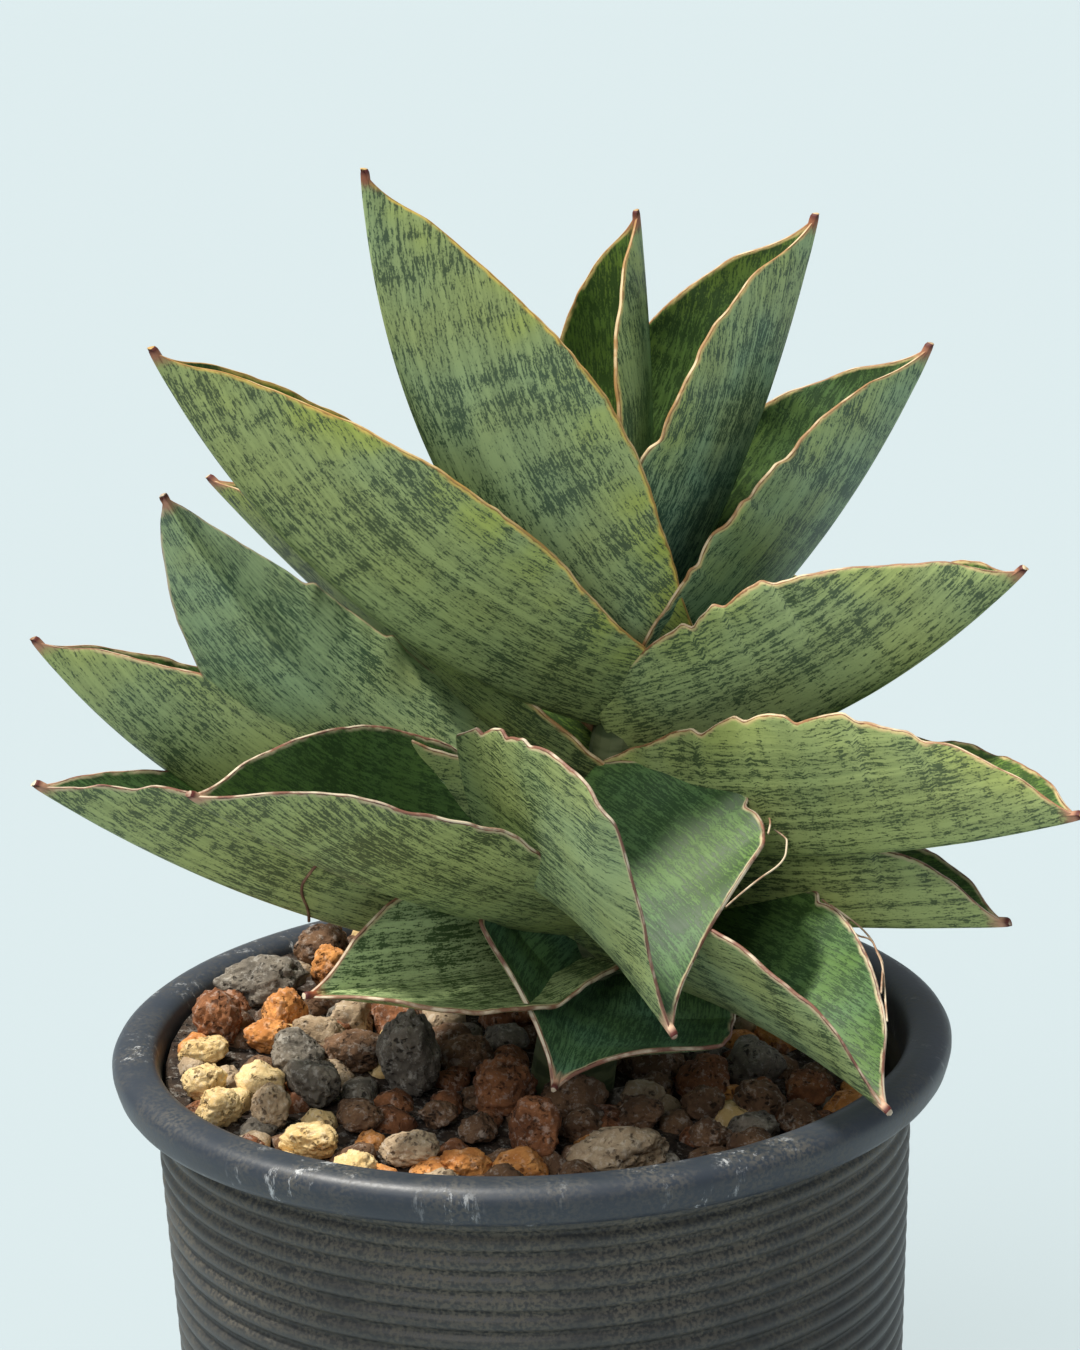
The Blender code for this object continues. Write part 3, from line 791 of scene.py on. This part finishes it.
# ---- Dry fibres ----
# Hair-thin threads that have peeled from the dry margins and hang beside them, and a
# healed brown crack across one low leaf.
THREAD_THICK = 0.34 * MM
CRACK_THICK = 0.55 * MM
CRACK_PLACE = 0.50                 # share of the leaf's length
# Leaf, side of it, from and to share of the length, mm it stands off
DRY_THREADS = (
    ("leaf_05", -1, 0.44, 0.86, 3.4), ("leaf_05", -1, 0.55, 0.80, 5.0), ("leaf_14", -1, 0.36, 0.62, 4.2),
    ("leaf_14", -1, 0.40, 0.74, 6.5), ("leaf_10", -1, 0.66, 0.93, 2.4),
)


def thread_skin(name, dark, pale):
    """Dry plant matter in two shades."""
    made, tree, shader, place = finish(name, 0.7)
    faded = step(tree, speckle(tree, place, 220, 3), 0.4, 0.6)
    tree.links.new(blended(tree, faded, (*dark, 1), (*pale, 1)), shader.inputs["Base Color"])
    return made


def lay_thread(name, points, thick, skin):
    """A thin round thread through the points, as a mesh."""
    bpy.ops.curve.primitive_nurbs_path_add()
    thread = bpy.context.object
    thread.name = name
    thread.location = (0, 0, 0)
    thread.data.splines.clear()
    spline = thread.data.splines.new("NURBS")
    spline.points.add(len(points) - 1)
    for slot, point in zip(spline.points, points):
        slot.co = (*point, 1)
    spline.use_endpoint_u = True
    spline.order_u = 3
    thread.data.bevel_depth = thick / 2
    thread.data.bevel_resolution = 2
    thread.data.use_fill_caps = True
    bpy.ops.object.convert(target="MESH")
    thread = bpy.context.object
    thread.data.materials.clear()
    thread.data.materials.append(skin)
    bpy.ops.object.shade_smooth()
    thread.select_set(False)
    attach(thread, "root")


chance = random.Random(31)
dry_thread = thread_skin("dry thread", (0.30, 0.17, 0.10), (0.62, 0.50, 0.36))
crack = thread_skin("healed crack", (0.13, 0.055, 0.03), (0.26, 0.14, 0.08))
for number, (name, side, first, last, off) in enumerate(DRY_THREADS, start=1):
    edge = [line[0 if side > 0 else -1] for line in blades[name]]
    start, stop = round(first * LEAF_ROWS), round(last * LEAF_ROWS)
    points = []
    for row in range(start, stop + 1, 3):
        swing = math.sin((row - start) / (stop - start) * math.pi)
        out = edge[row] - blades[name][row][LEAF_COLUMNS // 2]
        out.z = 0
        drift = Vector((chance.gauss(0, 0.5), chance.gauss(0, 0.5), chance.gauss(0, 0.6)))
        drift.z -= off * 0.5
        points.append(edge[row] + (out.normalized() * off * 0.6 + drift) * MM * swing)
    lay_thread(f"dry_thread_{number}", points, THREAD_THICK, dry_thread)
points = []
for column in range(LEAF_COLUMNS // 2, LEAF_COLUMNS + 1):
    row = round((CRACK_PLACE + 0.035 * math.sin(column * 0.55)) * LEAF_ROWS)
    points.append(blades["leaf_06"][row][column])
lay_thread("healed_crack", points, CRACK_THICK, crack)


# ---- Floor, light and camera ----
# A plain pale floor in an even bluish surround, a high key a little behind the plant
# to the left and a broad weak fill from the front left.
bpy.ops.mesh.primitive_plane_add(size=60, location=(0, 0, 0))
floor = bpy.context.object
floor.name = "floor"
floor.data.materials.append(
    finish("pale floor", 0.95, Specular_IOR_Level=0.0, Base_Color=(0.36, 0.42, 0.45, 1))[0]
)

surround = bpy.data.worlds.new("surround")
surround.use_nodes = True
sky = surround.node_tree.nodes["Background"].inputs
sky["Color"].default_value = (0.84, 0.93, 1.0, 1)
sky["Strength"].default_value = 0.38
bpy.context.scene.world = surround


def lamp(name, way, softness, strength, colour):
    """A far lamp that shines from the way given; its softness is in degrees."""
    bpy.ops.object.light_add(type="SUN", location=Vector(way) * 2)
    light = bpy.context.object
    light.name = name
    light.data.angle = math.radians(softness)
    light.data.energy = strength
    light.data.color = colour
    light.rotation_euler = Vector(way).to_track_quat("Z", "Y").to_euler()
    light.select_set(False)


lamp("key", (-0.42, 0.02, 1.0), 6, 5.0, (1.0, 0.96, 0.88))
lamp("fill", (-0.45, -0.9, 1.0), 40, 1.15, (1.0, 0.99, 0.96))

CAMERA_PLACE = (0, -0.6535, 0.3783)
CAMERA_HEADING = -0.33             # degrees
CAMERA_DOWN = 15.7
CAMERA_LEAN = -2.0
bpy.ops.object.camera_add()
camera = bpy.context.object
camera.data.lens = 103.6
camera.data.sensor_width = 36
camera.data.clip_start = 0.01
camera.matrix_world = (
    Matrix.Translation(CAMERA_PLACE)
    @ Matrix.Rotation(math.radians(CAMERA_HEADING), 4, "Z")
    @ Matrix.Rotation(math.radians(90 - CAMERA_DOWN), 4, "X")
    @ Matrix.Rotation(math.radians(CAMERA_LEAN), 4, "Z")
)
bpy.context.scene.camera = camera
bpy.context.scene.view_settings.view_transform = "Standard"
